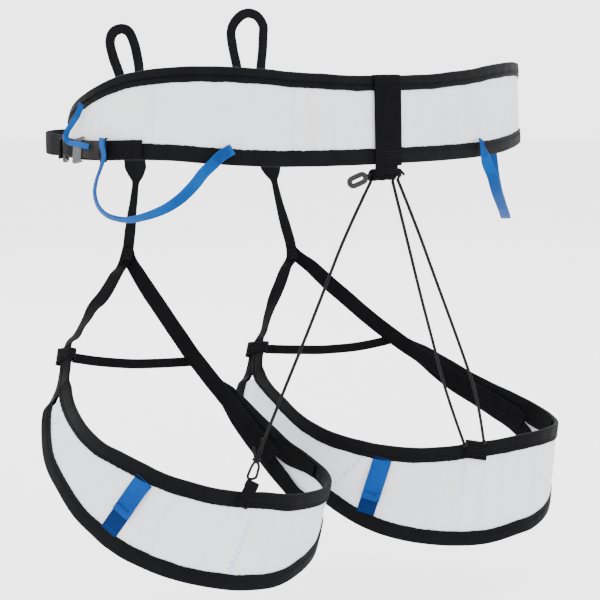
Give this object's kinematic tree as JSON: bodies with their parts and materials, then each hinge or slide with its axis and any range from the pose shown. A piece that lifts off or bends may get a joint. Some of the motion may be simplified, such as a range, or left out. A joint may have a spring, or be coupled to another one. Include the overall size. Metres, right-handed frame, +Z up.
{
  "type": "climbing harness",
  "caption": "Lightweight climbing harness: bound laminate waist belt and leg loops on webbing risers, tie-in loops, gear loops, buckle, keepers and elastic rear risers",
  "frame": {"origin": "middle of the waist opening, at the belt's mid height at the centre back", "axes": "+Z up, the wearer faces -Y, the wearer's left is +X"},
  "size_m": [0.3938, 0.2539, 0.3926],
  "materials": {
    "black_webbing": "matte woven",
    "laminate": "satin translucent laminate",
    "blue_tape": "satin woven",
    "blue_tape_dark": "satin woven",
    "load_tape": "matte woven",
    "elastic_cord": "matte braided",
    "buckle_metal": "anodised grey",
    "gloss_black": "glossy"
  },
  "bodies": {
    "waist_belt": {"belt_inner_skin": "laminate", "belt_load_tape": "load_tape", "belt_lower_binding": "black_webbing", "belt_outer_skin": "laminate", "belt_tip_tape": "blue_tape", "belt_upper_binding": "black_webbing", "buckle_anchor_loop": "black_webbing", "buckle_anchor_tail": "black_webbing", "buckle_closure_loop": "black_webbing", "buckle_frame": "buckle_metal", "closure_end_patch": "black_webbing", "front_closure_strap": "black_webbing", "left_elastic_riser": "elastic_cord", "left_tie_in_base": "black_webbing", "rear_cord_knot": "elastic_cord", "rear_cord_tunnel": "black_webbing", "rear_spine_strap": "black_webbing", "rear_tunnel_cord": "elastic_cord", "right_elastic_riser_a": "elastic_cord", "right_elastic_riser_b": "elastic_cord", "right_tie_in_base": "black_webbing", "strap_keeper": "buckle_metal"},
    "left_tie_in": {"left_tie_in_loop": "black_webbing"},
    "right_tie_in": {"right_tie_in_loop": "black_webbing"},
    "left_gear": {"left_gear_loop": "blue_tape"},
    "right_gear": {"right_gear_loop": "blue_tape"},
    "left_leg_loop": {"left_leg_cord_knot": "elastic_cord", "left_leg_cord_loop": "elastic_cord", "left_leg_elastic_tab": "black_webbing", "left_leg_end_sleeve": "black_webbing", "left_leg_inner_skin": "laminate", "left_leg_junction_bartack": "black_webbing", "left_leg_keeper_base": "blue_tape_dark", "left_leg_load_tape": "load_tape", "left_leg_lower_binding": "black_webbing", "left_leg_outer_branch": "black_webbing", "left_leg_outer_skin": "laminate", "left_leg_riser": "black_webbing", "left_leg_spreader": "black_webbing", "left_leg_upper_binding": "black_webbing", "left_leg_wide_strap": "black_webbing"},
    "right_leg_loop": {"right_leg_elastic_tab": "black_webbing", "right_leg_end_sleeve": "black_webbing", "right_leg_inner_skin": "laminate", "right_leg_junction_bartack": "black_webbing", "right_leg_keeper_base": "blue_tape_dark", "right_leg_load_tape": "load_tape", "right_leg_lower_binding": "black_webbing", "right_leg_outer_branch": "black_webbing", "right_leg_outer_skin": "laminate", "right_leg_riser": "black_webbing", "right_leg_spreader": "black_webbing", "right_leg_upper_binding": "black_webbing", "right_leg_wide_strap": "black_webbing"},
    "left_keeper": {"left_keeper_flap": "blue_tape"},
    "right_keeper": {"right_keeper_flap": "blue_tape"},
    "buckle_slider": {"buckle_slider_bar": "buckle_metal"},
    "release_toggle": {"rear_release_toggle": "gloss_black"}
  },
  "joints": [
    {"name": "left_tie_in_tilt", "type": "hinge", "parent": "waist_belt", "child": "left_tie_in", "pos_m": [0.0562, -0.1386, -0.0129], "axis": [1, 0, 0], "range_deg": [-20, 35]},
    {"name": "right_tie_in_tilt", "type": "hinge", "parent": "waist_belt", "child": "right_tie_in", "pos_m": [-0.053, -0.1386, -0.0129], "axis": [1, 0, 0], "range_deg": [-20, 35]},
    {"name": "left_gear_swing", "type": "hinge", "parent": "waist_belt", "child": "left_gear", "pos_m": [0.1469, 0.0593, -0.0217], "axis": [0.7363, -0.6744, -0.0548], "range_deg": [0, 70]},
    {"name": "right_gear_swing", "type": "hinge", "parent": "waist_belt", "child": "right_gear", "pos_m": [-0.1322, 0.0459, -0.0253], "axis": [0.6912, 0.7186, 0.0765], "range_deg": [0, 70]},
    {"name": "left_leg_swing", "type": "hinge", "parent": "waist_belt", "child": "left_leg_loop", "pos_m": [0.06, -0.1365, -0.0341], "axis": [1, 0, 0], "range_deg": [-6, 16], "stiffness_Nm_per_rad": 0.6, "springref_deg": 1.63, "deforming": ["left_elastic_riser"]},
    {"name": "right_leg_swing", "type": "hinge", "parent": "waist_belt", "child": "right_leg_loop", "pos_m": [-0.06, -0.1365, -0.0341], "axis": [1, 0, 0], "range_deg": [-6, 16], "stiffness_Nm_per_rad": 0.6, "springref_deg": 1.61, "deforming": ["right_elastic_riser_a", "right_elastic_riser_b"]},
    {"name": "left_keeper_lift", "type": "hinge", "parent": "left_leg_loop", "child": "left_keeper", "pos_m": [0.16639, 0.0507, -0.2363], "axis": [0.5766, -0.5769, 0.5785], "range_deg": [0, 45], "stiffness_Nm_per_rad": 0.0004},
    {"name": "right_keeper_lift", "type": "hinge", "parent": "right_leg_loop", "child": "right_keeper", "pos_m": [-0.04323, 0.03796, -0.25463], "axis": [0.7793, -0.5561, 0.2889], "range_deg": [0, 45], "stiffness_Nm_per_rad": 0.0004},
    {"name": "buckle_slide", "type": "slide", "parent": "waist_belt", "child": "buckle_slider", "axis": [-0.6, -0.8, 0], "range_m": [-0.002, 0.002]},
    {"name": "toggle_swing", "type": "hinge", "parent": "waist_belt", "child": "release_toggle", "pos_m": [0.021, 0.1042, -0.0395], "axis": [0, 1, 0], "range_deg": [-5, 35]}
  ]
}
